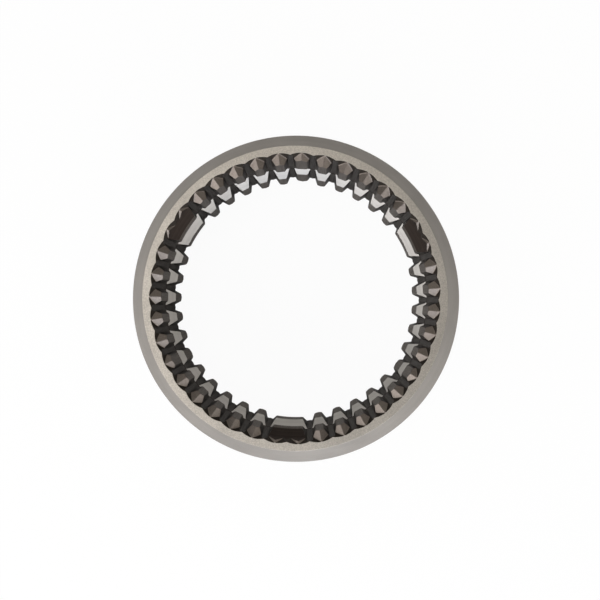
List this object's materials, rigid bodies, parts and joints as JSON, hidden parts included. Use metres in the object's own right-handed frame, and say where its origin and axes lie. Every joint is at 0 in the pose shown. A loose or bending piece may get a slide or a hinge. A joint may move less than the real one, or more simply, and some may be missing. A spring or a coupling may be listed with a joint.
{
  "type": "synchronizer sleeve",
  "caption": "Steel shift sleeve: a ring with pointed internal spline teeth, a detent groove across them, pocketed wide blocks and an outer groove for a shift fork.",
  "frame": {"origin": "centre of the ring, on its axis and in the middle of the detent groove", "axes": "+Z along the ring's axis towards the end face that is seen in the picture, -Y through the middle of one wide block and +Y through the middle of one short tooth"},
  "size_m": [0.097, 0.097, 0.026],
  "materials": {
    "hardened_steel": "turned and ground end faces and bevels, broached dark tooth spaces, milled tooth ends and a bright detent groove"
  },
  "bodies": {
    "root": {"sleeve": "hardened_steel"}
  },
  "joints": []
}
